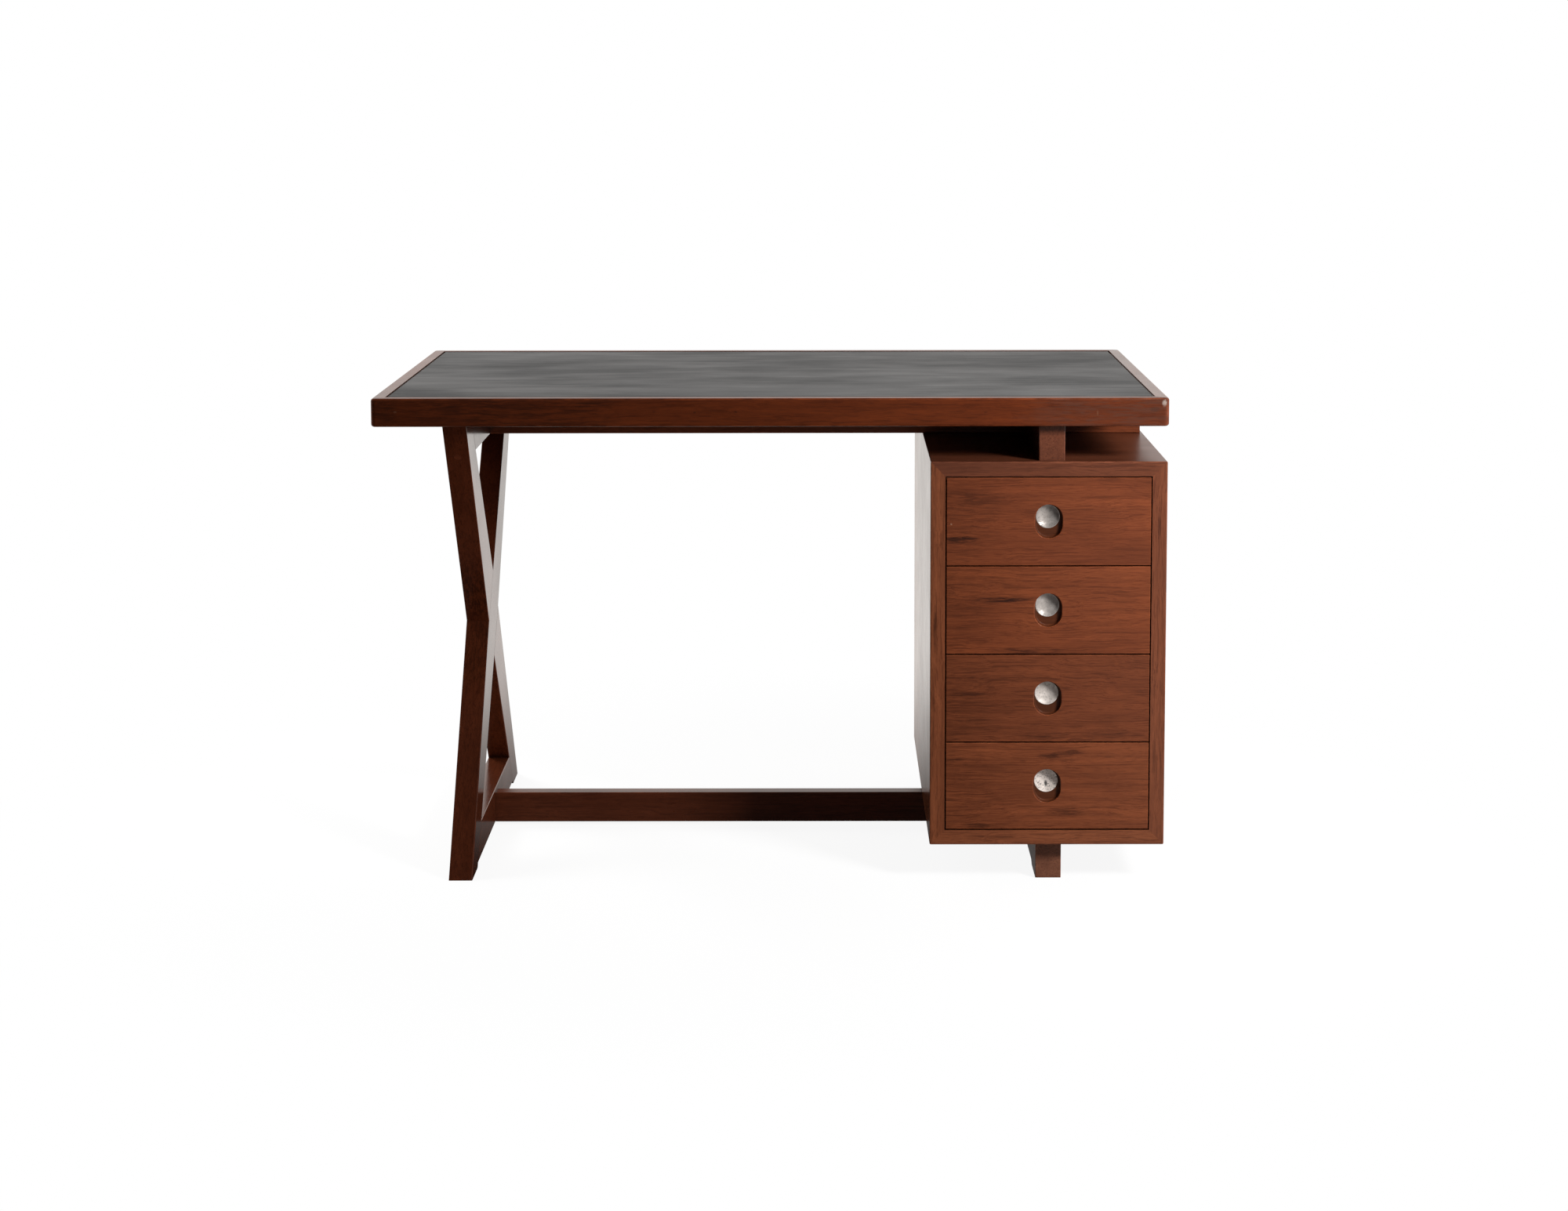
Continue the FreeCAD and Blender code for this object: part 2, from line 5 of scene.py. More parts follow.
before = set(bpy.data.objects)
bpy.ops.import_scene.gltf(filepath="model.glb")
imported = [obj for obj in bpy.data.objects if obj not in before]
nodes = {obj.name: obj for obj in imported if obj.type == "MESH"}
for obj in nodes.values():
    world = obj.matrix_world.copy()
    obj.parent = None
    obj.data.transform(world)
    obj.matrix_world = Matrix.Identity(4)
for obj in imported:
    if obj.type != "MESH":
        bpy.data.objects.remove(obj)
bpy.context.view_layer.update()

X_AXIS = Vector((1, 0, 0))
Y_AXIS = Vector((0, 1, 0))
Z_AXIS = Vector((0, 0, 1))
WHITE = (1, 1, 1, 1)

# Photograph's frame and the camera that fits its edges
IMAGE_WIDTH = 2000
IMAGE_HEIGHT = 1545
FOCAL_PX = 3741.0
PRINCIPAL_X = 1039.3
PRINCIPAL_Y = 490.0
SENSOR_MM = 36.0
CLIP_END = 100
CAMERA_PLACE = Vector((0.0721, -4.8232, 1.2690))
CAMERA_PITCH = 0.1088
CAMERA_YAW = -0.0008
CAMERA_ROLL = -0.0013


def make_camera():
    """A lens whose principal point is off the middle of the picture, as the photograph's is."""
    data = bpy.data.cameras.new("camera")
    data.sensor_fit = "HORIZONTAL"
    data.sensor_width = SENSOR_MM
    data.lens = SENSOR_MM * FOCAL_PX / IMAGE_WIDTH
    data.shift_x = (IMAGE_WIDTH / 2 - PRINCIPAL_X) / IMAGE_WIDTH
    data.shift_y = (PRINCIPAL_Y - IMAGE_HEIGHT / 2) / IMAGE_WIDTH
    data.clip_end = CLIP_END
    camera = bpy.data.objects.new("camera", data)
    bpy.context.scene.collection.objects.link(camera)
    sin_yaw, cos_yaw = math.sin(CAMERA_YAW), math.cos(CAMERA_YAW)
    sin_pitch, cos_pitch = math.sin(CAMERA_PITCH), math.cos(CAMERA_PITCH)
    forward = Vector((sin_yaw * cos_pitch, cos_yaw * cos_pitch, -sin_pitch))
    turn = forward.to_track_quat("-Z", "Y") @ Matrix.Rotation(CAMERA_ROLL, 4, "Z").to_quaternion()
    camera.rotation_mode = "QUATERNION"
    camera.rotation_quaternion = turn
    camera.location = CAMERA_PLACE
    bpy.context.scene.camera = camera


class Tree:
    """A short way to add and join shader nodes."""

    def __init__(self, tree):
        self.tree = tree

    def add(self, kind, **settings):
        node = self.tree.nodes.new(kind)
        for name, value in settings.items():
            setattr(node, name, value)
        return node

    def feed(self, socket, value):
        if isinstance(value, bpy.types.NodeSocket):
            self.tree.links.new(value, socket)
        else:
            socket.default_value = value

    def place(self):
        """A point in the piece's own space, so that the pattern moves with it."""
        return self.add("ShaderNodeTexCoord").outputs["Object"]

    def math(self, operation, first, second=0.0, clamp=False):
        node = self.add("ShaderNodeMath", operation=operation, use_clamp=clamp)
        self.feed(node.inputs[0], first)
        self.feed(node.inputs[1], second)
        return node.outputs[0]

    def line(self, value, slope, offset):
        node = self.add("ShaderNodeMath", operation="MULTIPLY_ADD")
        self.feed(node.inputs[0], value)
        node.inputs[1].default_value = slope
        node.inputs[2].default_value = offset
        return node.outputs[0]

    def ramp(self, value, low, high):
        node = self.add("ShaderNodeMapRange", interpolation_type="SMOOTHSTEP")
        self.feed(node.inputs["Value"], value)
        node.inputs["From Min"].default_value = low
        node.inputs["From Max"].default_value = high
        return node.outputs["Result"]

    def mix(self, amount, first, second, blend="MIX"):
        node = self.add("ShaderNodeMix", data_type="RGBA", blend_type=blend)
        self.feed(node.inputs["Factor"], amount)
        self.feed(node.inputs[6], first)
        self.feed(node.inputs[7], second)
        return node.outputs[2]

    def scaled(self, colour, factors):
        return self.mix(1.0, colour, factors, "MULTIPLY")

    def tint(self, colour, mask, share, target):
        """A colour turned to another by a share of a mask."""
        return self.mix(self.math("MULTIPLY", mask, share), colour, target)

    def noise(self, vector, scale, detail=4.0, rough=0.6, distortion=0.0):
        node = self.add("ShaderNodeTexNoise")
        self.feed(node.inputs["Vector"], vector)
        node.inputs["Scale"].default_value = scale
        node.inputs["Detail"].default_value = detail
        node.inputs["Roughness"].default_value = rough
        node.inputs["Distortion"].default_value = distortion
        return node.outputs["Fac"]

    def mapped(self, vector, move=(0, 0, 0), turn=(0, 0, 0), scale=(1, 1, 1)):
        node = self.add("ShaderNodeMapping")
        self.feed(node.inputs["Vector"], vector)
        node.inputs["Location"].default_value = move
        node.inputs["Rotation"].default_value = turn
        node.inputs["Scale"].default_value = scale
        return node.outputs[0]

    def parts(self, vector):
        node = self.add("ShaderNodeSeparateXYZ")
        self.feed(node.inputs[0], vector)
        return node.outputs

    def length(self, vector):
        node = self.add("ShaderNodeVectorMath", operation="LENGTH")
        self.feed(node.inputs[0], vector)
        return node.outputs["Value"]

    def bump(self, height, strength, distance):
        node = self.add("ShaderNodeBump")
        node.inputs["Strength"].default_value = strength
        node.inputs["Distance"].default_value = distance
        self.feed(node.inputs["Height"], height)
        return node.outputs[0]

    def glow(self, kind, colour, strength):
        """An emission or a background."""
        node = self.add(kind)
        self.feed(node.inputs["Color"], colour)
        self.feed(node.inputs["Strength"], strength)
        return node.outputs[0]

    def matt(self, grey):
        node = self.add("ShaderNodeBsdfDiffuse")
        node.inputs["Color"].default_value = (grey, grey, grey, 1)
        return node.outputs[0]

    def either(self, amount, first, second):
        """One shader or the other."""
        node = self.add("ShaderNodeMixShader")
        self.feed(node.inputs[0], amount)
        self.feed(node.inputs[1], first)
        self.feed(node.inputs[2], second)
        return node.outputs[0]


def rgb(red, green, blue):
    """A screen colour of 0 to 255 as a linear one."""
    channels = []
    for value in (red, green, blue):
        share = value / 255
        channels.append(share / 12.92 if share <= 0.04045 else ((share + 0.055) / 1.055) ** 2.4)
    return (*channels, 1.0)


def empty_material(name):
    material = bpy.data.materials.new(name)
    material.use_nodes = True
    material.node_tree.nodes.clear()
    return material, Tree(material.node_tree)


def new_material(name):
    material, tree = empty_material(name)
    shader = tree.add("ShaderNodeBsdfPrincipled")
    output = tree.add("ShaderNodeOutputMaterial")
    tree.feed(output.inputs["Surface"], shader.outputs[0])
    return material, tree, shader


# Tones of the varnished teak
BAND_TONE = rgb(104, 45, 18)
FRAME_TONE = rgb(94, 46, 27)
UPPER_LEG_TONE = rgb(99, 46, 25)
LOWER_LEG_TONE = rgb(86, 40, 22)
CROSS_RAIL_TONE = rgb(128, 66, 40)
BLOCK_TONE = rgb(108, 60, 41)
DUST_AND_SHEEN_TONE = rgb(126, 80, 60)
CASE_TONE = rgb(116, 64, 42)
STILE_TONE = rgb(127, 71, 45)
HIDDEN_TONE = rgb(150, 108, 74)
DRAWER_TONES = {1: rgb(124, 63, 36), 2: rgb(122, 62, 35), 3: rgb(112, 58, 34), 4: rgb(125, 66, 39)}

# Grain: how far it wanders off its line in metres, and its dark and light parts against the tone
GRAIN_DRIFT = 0.026
DARK_GRAIN = (0.46, 0.44, 0.46, 1)
LIGHT_GRAIN = (1.36, 1.36, 1.30, 1)
SEED_STEP = (1.37, 0.61, 0.43)

# Varnish, its edges lightened by wear and painted highlight, and painted shade in crevices and inside
# the scoops
VARNISH_IOR = 1.3
POLISH = 0.15
WORN_EDGE_AND_HIGHLIGHT = (2.2, 2.4, 2.6, 1)
PAINTED_CREVICE_SHADE = (0.012, 0.006, 0.004, 1)
CREVICE_SHADE_REACH = 0.012
PAINTED_SCOOP_SHADE = (0.034, 0.011, 0.004, 1)

# Front faces that carry marks, and the depths behind the drawers' face of a scoop's rim and inside
BAND_FACE = -0.38
CASE_FACE = -0.366
DRAWER_FACE = -0.3654
RIM_DEPTHS = (DRAWER_FACE + 0.0016, DRAWER_FACE + 0.0010)
INSIDE_DEPTHS = (DRAWER_FACE + 0.0015, DRAWER_FACE + 0.0050)

# A stain is full within its core and gone at its edge, as shares of its reach
STAIN_CORE = 0.35
STAIN_EDGE = 1.05


def stain(tree, place, centre, reach, ragged=0.5):
    """A mask that is 1 at a centre and fades out over a reach along each axis, with a ragged edge."""
    inverse = [1 / size for size in reach]
    move = [-point * share for point, share in zip(centre, inverse)]
    local = tree.mapped(place, move=move, scale=inverse)
    rough = tree.noise(tree.mapped(local, scale=(1, 1, 2.5)), 2.2, detail=3.0, rough=0.65)
    shaken = tree.math("ADD", tree.length(local), tree.math("MULTIPLY", rough, 2 * ragged))
    return tree.math("SUBTRACT", 1.0, tree.ramp(shaken, STAIN_CORE + ragged, STAIN_EDGE + ragged))


def teak_group():
    """The grain of one board: X of the vector runs along it. Gives a colour and a height."""
    group = bpy.data.node_groups.new("teak", "ShaderNodeTree")
    group.interface.new_socket("Vector", in_out="INPUT", socket_type="NodeSocketVector")
    group.interface.new_socket("Tone", in_out="INPUT", socket_type="NodeSocketColor")
    group.interface.new_socket("Color", in_out="OUTPUT", socket_type="NodeSocketColor")
    group.interface.new_socket("Height", in_out="OUTPUT", socket_type="NodeSocketFloat")
    tree = Tree(group)
    source = tree.add("NodeGroupInput")
    straight = source.outputs["Vector"]
    tone = source.outputs["Tone"]
    drift = tree.noise(tree.mapped(straight, scale=(1, 2.5, 2.5)), 4.5, detail=3.0, rough=0.55)
    drift = tree.math("MULTIPLY", tree.math("SUBTRACT", drift, 0.5), GRAIN_DRIFT)
    sideways = tree.add("ShaderNodeCombineXYZ")
    tree.feed(sideways.inputs["Y"], drift)
    tree.feed(sideways.inputs["Z"], drift)
    grain = tree.add("ShaderNodeVectorMath", operation="ADD")
    tree.feed(grain.inputs[0], straight)
    tree.feed(grain.inputs[1], sideways.outputs[0])

    def squeezed(along, across):
        return tree.mapped(grain.outputs[0], scale=(along, across, across))

    broad = tree.noise(squeezed(1.4, 6), 2.4, detail=3.0, rough=0.5, distortion=0.4)
    rings = tree.noise(squeezed(0.7, 20), 5.0, distortion=0.8)
    streaks = tree.noise(squeezed(0.8, 30), 12.0, rough=0.65, distortion=0.2)
    fibres = tree.noise(squeezed(1.0, 26), 45.0, detail=2.0)
    mottle = tree.noise(squeezed(1.0, 1.6), 14.0)

    dark = tree.scaled(tone, DARK_GRAIN)
    light = tree.scaled(tone, LIGHT_GRAIN)
    colour = tree.mix(tree.ramp(rings, 0.25, 0.75), dark, light)
    colour = tree.mix(0.64, colour, tone)
    colour = tree.tint(colour, tree.ramp(broad, 0.48, 0.74), 0.46, dark)
    colour = tree.tint(colour, tree.ramp(broad, 0.45, 0.22), 0.34, light)
    colour = tree.tint(colour, tree.ramp(streaks, 0.50, 0.64), 0.66, dark)
    colour = tree.tint(colour, tree.ramp(fibres, 0.46, 0.70), 0.60, dark)
    colour = tree.tint(colour, tree.ramp(mottle, 0.5, 0.75), 0.16, dark)
    height = tree.math("ADD", tree.math("MULTIPLY", fibres, 0.6), tree.math("MULTIPLY", streaks, 0.4))

    result = tree.add("NodeGroupOutput")
    tree.feed(result.inputs["Color"], colour)
    tree.feed(result.inputs["Height"], height)
    return group


def rounded_edges(tree, turn):
    """A mask of the faces that lie square to none of a board's own axes."""
    normal = tree.add("ShaderNodeNewGeometry").outputs["Normal"]
    facing = tree.add("ShaderNodeVectorMath", operation="ABSOLUTE")
    tree.feed(facing.inputs[0], tree.mapped(normal, turn=turn))
    x, y, z = tree.parts(facing.outputs[0])
    square = tree.math("MAXIMUM", tree.math("MAXIMUM", x, y), z)
    return tree.ramp(square, 0.97, 0.84)


def wood(name, along, tone, seed, marks=(), polish=POLISH, hollow=None):
    """One varnished board. A mark is a centre, a reach, a strength and the colour that it turns to.

    A hollow is a centre and a reach within which the colour is darkened as painted shade and the
    finish is roughened from handling.
    """
    material, tree, shader = new_material(name)
    place = tree.place()
    turn = Vector(along).to_track_quat("X", "Z").inverted().to_euler()
    grain = tree.mapped(place, turn=turn)
    grain = tree.mapped(grain, move=[seed * step for step in SEED_STEP])
    board = tree.add("ShaderNodeGroup", node_tree=TEAK)
    tree.feed(board.inputs["Vector"], grain)
    tree.feed(board.inputs["Tone"], tone)
    colour = board.outputs["Color"]
    if marks:
        fine = tree.mapped(grain, scale=(16, 170, 170))
        fray = tree.noise(fine, 1.6, detail=3.0, rough=0.65, distortion=0.6)
        fray = tree.line(tree.ramp(fray, 0.40, 0.60), 0.75, 0.25)
    for centre, reach, strength, turned in marks:
        mask = tree.math("MULTIPLY", stain(tree, place, centre, reach), strength)
        colour = tree.mix(tree.math("MULTIPLY", mask, fray), colour, turned)

    patchy = tree.ramp(tree.noise(place, 38.0), 0.30, 0.65)
    # Rounded edges are lightened: partly worn varnish, partly a painted highlight along the arrises
    worn_and_lit = tree.math("MULTIPLY", tree.math("MULTIPLY", rounded_edges(tree, turn), patchy), 0.75)
    shaded_and_handled = 0.0
    if hollow:
        depth = tree.parts(place)["Y"]
        worn_and_lit = tree.math("MULTIPLY", worn_and_lit, tree.ramp(depth, *RIM_DEPTHS))
        inside = tree.ramp(depth, *INSIDE_DEPTHS)
        # Painted shade darkens the inside of the scoop; the same mask also roughens its handled
        # finish
        shaded_and_handled = tree.math("MULTIPLY", stain(tree, place, *hollow, ragged=0.1), inside)
        colour = tree.tint(colour, shaded_and_handled, 0.70, PAINTED_SCOOP_SHADE)
    colour = tree.mix(worn_and_lit, colour, tree.scaled(colour, WORN_EDGE_AND_HIGHLIGHT))

    # Painted shade: ambient occlusion darkens the colour in crevices and gaps
    open_sky = tree.add("ShaderNodeAmbientOcclusion", samples=6)
    open_sky.inputs["Distance"].default_value = CREVICE_SHADE_REACH
    colour = tree.tint(colour, tree.ramp(open_sky.outputs["AO"], 0.75, 0.25), 0.55, PAINTED_CREVICE_SHADE)
    tree.feed(shader.inputs["Base Color"], colour)

    haze = tree.noise(tree.mapped(place, scale=(1, 1, 1.6)), 6.0)
    rough = tree.line(haze, 0.14, polish)
    rough = tree.math("ADD", rough, tree.math("MULTIPLY", shaded_and_handled, 0.25))
    tree.feed(shader.inputs["Roughness"], rough)
    shader.inputs["IOR"].default_value = VARNISH_IOR
    tree.feed(shader.inputs["Normal"], tree.bump(board.outputs["Height"], 0.06, 0.0004))
    return material


# Leather inset: its tones, a patch of painted sheen and a near-black strip along its front
LEATHER_DARK = rgb(42, 43, 44)
LEATHER_LIGHT = rgb(66, 67, 68)
LEATHER_RUBBED = rgb(81, 80, 79)
LEATHER_PAINTED_SHEEN = rgb(98, 98, 98)
LEATHER_BLACK = rgb(18, 16, 16)
LEATHER_SHEEN = (0.90, 0.96, 1.0, 1)
LEATHER_FRONT = -0.3576
PAINTED_SHEEN_PATCH = ((0.04, -0.27, 0.762), (0.34, 0.13, 0.2))


def leather():
    material, tree, shader = new_material("leather")
    place = tree.place()
    clouds = tree.noise(tree.mapped(place, scale=(1, 2.2, 1)), 3.2, detail=5.0)
    rubbed = tree.noise(tree.mapped(place, scale=(1, 9, 1)), 7.0, rough=0.65)
    pebble = tree.noise(place, 900.0, detail=2.0, rough=0.5)
    x, y, _ = tree.parts(place)
    colour = tree.mix(tree.ramp(clouds, 0.35, 0.7), LEATHER_DARK, LEATHER_LIGHT)
    colour = tree.tint(colour, tree.ramp(rubbed, 0.5, 0.75), 0.35, LEATHER_RUBBED)
    # Painted sheen: a pale patch on the leather's middle front
    colour = tree.tint(colour, stain(tree, place, *PAINTED_SHEEN_PATCH, ragged=0.3), 0.45, LEATHER_PAINTED_SHEEN)
    # A near-black strip along the leather's front edge, also made fully rough
    front_edge = tree.ramp(y, LEATHER_FRONT + 0.014, LEATHER_FRONT + 0.008)
    colour = tree.mix(front_edge, colour, LEATHER_BLACK)
    tree.feed(shader.inputs["Base Color"], colour)
    shader.inputs["Specular Tint"].default_value = LEATHER_SHEEN
    left = tree.math("MULTIPLY", tree.ramp(x, 0.45, -0.6), 0.03)
    cloudy = tree.math("MULTIPLY", tree.ramp(clouds, 0.25, 0.75), -0.16)
    streaky = tree.math("MULTIPLY", tree.ramp(rubbed, 0.3, 0.7), -0.07)
    rough = tree.math("ADD", tree.math("ADD", cloudy, streaky), tree.math("ADD", left, 0.69))
    rough = tree.math("ADD", rough, tree.math("MULTIPLY", front_edge, 0.5), clamp=True)
    tree.feed(shader.inputs["Roughness"], rough)
    tree.feed(shader.inputs["Normal"], tree.bump(pebble, 0.15, 0.0004))
    return material


# Cast aluminium pulls and steel screws
DULL_METAL = (0.72, 0.71, 0.70, 1)
PIT_TONE = rgb(104, 98, 94)
NICK_TONE = rgb(72, 68, 66)
STEEL_TONE = rgb(150, 148, 145)
STEEL_ROUGHNESS = 0.4


def aluminium(seed, tone, pitted, polish, bare, nicks):
    """A pull with clouded metal, pits and nicks. Bare is how far its metal shows through."""
    material, tree, shader = new_material(f"aluminium_{seed}")
    place = tree.place()
    moved = tree.mapped(place, move=(seed * 0.31, 0, 0))
    cloud = tree.noise(moved, 90.0)
    spots = tree.noise(moved, 340.0, detail=3.0, rough=0.65)
    colour = tree.mix(tree.ramp(cloud, 0.35, 0.7), tree.scaled(tone, DULL_METAL), tone)
    colour = tree.tint(colour, tree.ramp(spots, 0.52, 0.66), pitted, PIT_TONE)
    for centre, reach in nicks:
        colour = tree.mix(stain(tree, place, centre, reach, 0.3), colour, NICK_TONE)
    tree.feed(shader.inputs["Base Color"], colour)
    shader.inputs["Metallic"].default_value = bare
    tree.feed(shader.inputs["Roughness"], tree.line(cloud, 0.2, polish))
    return material


def steel():
    material, _, shader = new_material("steel")
    shader.inputs["Base Color"].default_value = STEEL_TONE
    shader.inputs["Metallic"].default_value = 1.0
    shader.inputs["Roughness"].default_value = STEEL_ROUGHNESS
    return material


# Each board's direction of grain, tone and polish
LEG_SLOPE = Vector((0, -0.42, 0.90))
BOARDS = (
    ("edge_band_front", X_AXIS, BAND_TONE, 0.25),
    ("edge_band_back", X_AXIS, BAND_TONE, 0.24),
    ("edge_band_left", Y_AXIS, BAND_TONE, 0.20),
    ("edge_band_right", Y_AXIS, BAND_TONE, 0.14),
    ("x_leg_front_top", LEG_SLOPE, UPPER_LEG_TONE, 0.10),
    ("x_leg_back_top", LEG_SLOPE * Vector((1, -1, 1)), LOWER_LEG_TONE, 0.10),
    ("left_top_rail", Y_AXIS, FRAME_TONE, 0.12),
    ("left_runner", Y_AXIS, FRAME_TONE, 0.12),
    ("leg_plugs", X_AXIS, UPPER_LEG_TONE, POLISH),
    ("stretcher", X_AXIS, FRAME_TONE, 0.22),
    ("cross_rail", X_AXIS, CROSS_RAIL_TONE, POLISH),
    ("right_top_rail", Y_AXIS, BLOCK_TONE, POLISH),
    # The runner's tone is lightened for dust and as painted sheen
    ("right_runner", Y_AXIS, DUST_AND_SHEEN_TONE, 0.20),
    ("pedestal_left_side", Z_AXIS, STILE_TONE, 0.09),
    ("pedestal_right_side", Z_AXIS, CASE_TONE, POLISH),
    ("pedestal_top", X_AXIS, BLOCK_TONE, 0.26),
    ("pedestal_bottom", X_AXIS, STILE_TONE, POLISH),
    ("pedestal_back", Z_AXIS, CASE_TONE, POLISH),
    ("top_core", X_AXIS, HIDDEN_TONE, POLISH),
)

# Colours that marks in the wood turn to
DARK_STREAK_AND_SHADE = rgb(48, 22, 13)
DARK_SPOT_AND_SHADE = rgb(26, 12, 8)
PALE_NICK = rgb(156, 122, 98)
BARE_CHIP = rgb(208, 192, 180)
DUST_AND_SHEEN_GREY = rgb(84, 56, 46)


def band_mark(x, z, wide, high, strength, colour, deep=0.05):
    return ((x, BAND_FACE, z), (wide, deep, high), strength, colour)


def case_mark(x, z, wide, high, strength):
    return ((x, CASE_FACE, z), (wide, 0.02, high), strength, DARK_STREAK_AND_SHADE)


def drawer_mark(x, z, wide, high, strength, colour=DARK_STREAK_AND_SHADE):
    return ((x, DRAWER_FACE, z), (wide, 0.05, high), strength, colour)


BOARD_MARKS = {
    "edge_band_front": (
        band_mark(-0.572, 0.741, 0.0035, 0.0018, 0.45, PALE_NICK),
        band_mark(-0.177, 0.742, 0.0030, 0.0020, 0.50, DARK_SPOT_AND_SHADE),
        band_mark(-0.115, 0.740, 0.0030, 0.0020, 0.50, DARK_SPOT_AND_SHADE),
        band_mark(-0.052, 0.741, 0.0030, 0.0020, 0.50, DARK_SPOT_AND_SHADE),
        band_mark(0.329, 0.740, 0.0035, 0.0020, 0.55, DARK_SPOT_AND_SHADE),
        band_mark(0.500, 0.739, 0.0016, 0.0045, 0.60, PALE_NICK),
        band_mark(0.588, 0.744, 0.0100, 0.0050, 0.50, DARK_SPOT_AND_SHADE),
        band_mark(0.6020, 0.7535, 0.0045, 0.0065, 0.95, BARE_CHIP, deep=0.02),
        # The next two marks are painted shade, darkening the band towards its left end
        band_mark(-0.592, 0.742, 0.0300, 0.0300, 0.45, DARK_SPOT_AND_SHADE),
        band_mark(-0.390, 0.742, 0.2200, 0.0900, 0.50, DARK_SPOT_AND_SHADE),
        # Dust and painted sheen grey the band's right part
        band_mark(0.530, 0.742, 0.1600, 0.0900, 0.50, DUST_AND_SHEEN_GREY),
    ),
    "x_leg_back_top": (
        ((-0.486, -0.10, 0.320), (0.05, 0.09, 0.09), 0.45, DARK_SPOT_AND_SHADE),
    ),
    "x_leg_front_top": (
        ((-0.486, -0.13, 0.405), (0.05, 0.10, 0.10), 0.60, DARK_SPOT_AND_SHADE),
        ((-0.486, -0.29, 0.610), (0.01, 0.03, 0.01), 0.55, DARK_SPOT_AND_SHADE),
    ),
    "pedestal_left_side": (
        case_mark(0.2545, 0.400, 0.0050, 0.0500, 0.75),
        case_mark(0.2520, 0.270, 0.0030, 0.0800, 0.55),
    ),
    "pedestal_right_side": (
        case_mark(0.598, 0.560, 0.0030, 0.0400, 0.60),
        case_mark(0.594, 0.200, 0.0030, 0.0600, 0.45),
    ),
    "pedestal_bottom": (
        case_mark(0.350, 0.073, 0.0600, 0.0035, 0.50),
    ),
}
DRAWER_MARKS = {
    1: (
        drawer_mark(0.290, 0.541, 0.038, 0.0070, 1.00),
        drawer_mark(0.305, 0.603, 0.060, 0.0200, 0.30),
        drawer_mark(0.278, 0.565, 0.002, 0.0020, 0.60, PALE_NICK),
    ),
    2: (
        drawer_mark(0.362, 0.447, 0.056, 0.0055, 1.00),
        drawer_mark(0.395, 0.367, 0.080, 0.0070, 0.70),
    ),
    3: (
        drawer_mark(0.305, 0.297, 0.034, 0.0080, 0.50),
        drawer_mark(0.520, 0.236, 0.050, 0.0110, 0.50),
        drawer_mark(0.425, 0.233, 0.050, 0.0090, 0.45),
        drawer_mark(0.570, 0.300, 0.026, 0.0080, 0.40),
    ),
    4: (
        drawer_mark(0.432, 0.201, 0.024, 0.0060, 0.70),
        drawer_mark(0.452, 0.204, 0.024, 0.0055, 0.70),
        drawer_mark(0.472, 0.208, 0.020, 0.0045, 0.65),
        drawer_mark(0.284, 0.197, 0.020, 0.0070, 0.55),
        drawer_mark(0.301, 0.189, 0.006, 0.0035, 0.55),
        drawer_mark(0.390, 0.193, 0.007, 0.0025, 0.50),
        drawer_mark(0.458, 0.114, 0.036, 0.0090, 0.60),
        drawer_mark(0.322, 0.091, 0.026, 0.0060, 0.65),
    ),
}

# Each pull's tone, pitting, roughness, bareness of the metal and nicks
PULL_NICK = ((0.4270, -0.355, 0.1552), (0.0034, 0.02, 0.0060))
PULL_WEAR = {
    1: (rgb(188, 181, 176), 0.40, 0.24, 0.45, ()),
    2: (rgb(193, 186, 181), 0.40, 0.26, 0.40, ()),
    3: (rgb(220, 211, 204), 0.45, 0.32, 0.20, ()),
    4: (rgb(240, 229, 221), 0.85, 0.46, 0.10, (PULL_NICK,)),
}

# Finger scoops: the level of each, where they lie, and how far the painted shade inside them reaches
SCOOP_LEVELS = {1: 0.569, 2: 0.4307, 3: 0.2924, 4: 0.154}
SCOOP_X = 0.428
SCOOP_INSIDE = -0.3575
SCOOP_REACH = (0.042, 0.012, 0.046)

# The drawers' left end lies in shade
SHADED_X = 0.255
SHADED_WIDTH = 0.14
SHADED_HEIGHT = 0.13
SHADED_STRENGTH = 0.35

# Seeds of the grain, so that no two drawers are alike
FRONT_SEED = 20
SIDE_SEED = 30
BOX_SEED = 40
SLIDE_SEED = 50


def dress(name, material):
    node = nodes[name]
    node.data.materials.clear()
    node.data.materials.append(material)


def dress_drawer(number):
    """Teak front with its own streaks, paler wood for the box behind it."""
    level = SCOOP_LEVELS[number]
    hollow = ((SCOOP_X, SCOOP_INSIDE, level), SCOOP_REACH)
    # A painted shade mark darkens the drawer's left end
    shaded = drawer_mark(SHADED_X, level, SHADED_WIDTH, SHADED_HEIGHT, SHADED_STRENGTH)
    marks = (shaded, *DRAWER_MARKS[number])
    front = f"drawer_{number}_front"
    dress(front, wood(front, X_AXIS, DRAWER_TONES[number], FRONT_SEED + number, marks, hollow=hollow))
    hidden = (
        (f"drawer_{number}_left_side", Y_AXIS, SIDE_SEED),
        (f"drawer_{number}_right_side", Y_AXIS, SIDE_SEED),
        (f"drawer_{number}_back", X_AXIS, BOX_SEED),
        (f"drawer_{number}_bottom", X_AXIS, BOX_SEED),
        (f"slide_{number}_left", Y_AXIS, SLIDE_SEED),
        (f"slide_{number}_right", Y_AXIS, SLIDE_SEED),
    )
    for name, along, seed in hidden:
        dress(name, wood(name, along, HIDDEN_TONE, seed + number))
    dress(f"drawer_{number}_pull", aluminium(number, *PULL_WEAR[number]))
    dress(f"drawer_{number}_pull_screw", STEEL)


TEAK = teak_group()
STEEL = steel()
for index, (name, along, tone, polish) in enumerate(BOARDS):
    dress(name, wood(name, along, tone, index + 1, BOARD_MARKS.get(name, ()), polish))
for number in DRAWER_MARKS:
    dress_drawer(number)
dress("leather_inset", leather())
for name in ("top_screws", "pedestal_screws"):
    dress(name, STEEL)


